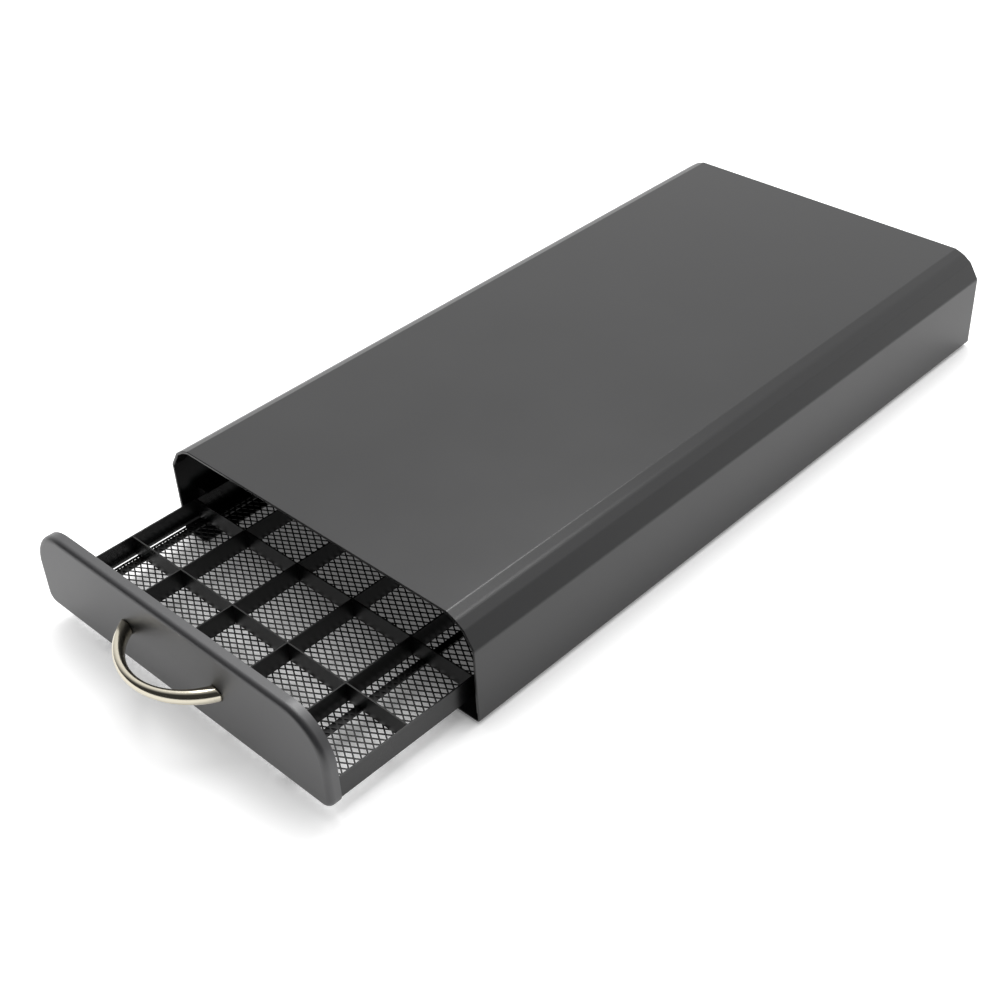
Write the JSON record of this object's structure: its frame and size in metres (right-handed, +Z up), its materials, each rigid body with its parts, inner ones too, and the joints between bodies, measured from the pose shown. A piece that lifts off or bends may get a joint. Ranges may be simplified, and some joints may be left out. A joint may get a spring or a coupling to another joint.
{
  "type": "coffee pod drawer",
  "caption": "Flat black sheet-steel drawer for coffee capsules with a slotted divider grid over a mesh floor, a folded casing and a nickel bow handle.",
  "frame": {"origin": "centre of the footprint on the table, with the drawer resting 81 mm open", "axes": "+X to the right seen from the front, +Y from the handle towards the back of the casing, +Z up"},
  "size_m": [0.225, 0.547, 0.062],
  "materials": {
    "black_powder_coat": "satin black powder coat",
    "mesh_powder_coat": "satin black powder coat on expanded mesh and flat bar",
    "satin_nickel": "satin nickel plate, warm grey",
    "zinc_rivet": "plain zinc plated",
    "black_nylon": "moulded nylon",
    "black_rubber": "matt moulded rubber"
  },
  "bodies": {
    "casing": {"casing_shell": "black_powder_coat", "back_panel": "black_powder_coat", "rail_right": "black_powder_coat", "rail_left": "black_powder_coat", "foot_front_right": "black_rubber", "foot_front_left": "black_rubber", "foot_rear_right": "black_rubber", "foot_rear_left": "black_rubber"},
    "drawer": {"drawer_wall_right": "black_powder_coat", "drawer_wall_left": "black_powder_coat", "drawer_wall_front": "black_powder_coat", "drawer_wall_rear": "black_powder_coat", "mesh_floor": "mesh_powder_coat", "front_panel": "black_powder_coat", "mounting_strip": "black_powder_coat", "panel_rivets": "zinc_rivet", "handle": "satin_nickel", "handle_screws": "zinc_rivet", "stop_block_right": "black_nylon", "stop_block_left": "black_nylon", "block_rivets": "zinc_rivet", "floor_strap_1": "mesh_powder_coat", "column_divider_1": "black_powder_coat", "floor_strap_2": "mesh_powder_coat", "column_divider_2": "black_powder_coat", "floor_strap_3": "mesh_powder_coat", "column_divider_3": "black_powder_coat", "floor_strap_4": "mesh_powder_coat", "column_divider_4": "black_powder_coat", "row_divider_1": "black_powder_coat", "row_divider_2": "black_powder_coat", "row_divider_3": "black_powder_coat", "row_divider_4": "black_powder_coat", "row_divider_5": "black_powder_coat", "row_divider_6": "black_powder_coat", "row_divider_7": "black_powder_coat", "row_divider_8": "black_powder_coat", "row_divider_9": "black_powder_coat"}
  },
  "joints": [
    {"name": "drawer_slide", "type": "slide", "parent": "casing", "child": "drawer", "axis": [0, -1, 0], "range_m": [-0.0809, 0.24]}
  ]
}
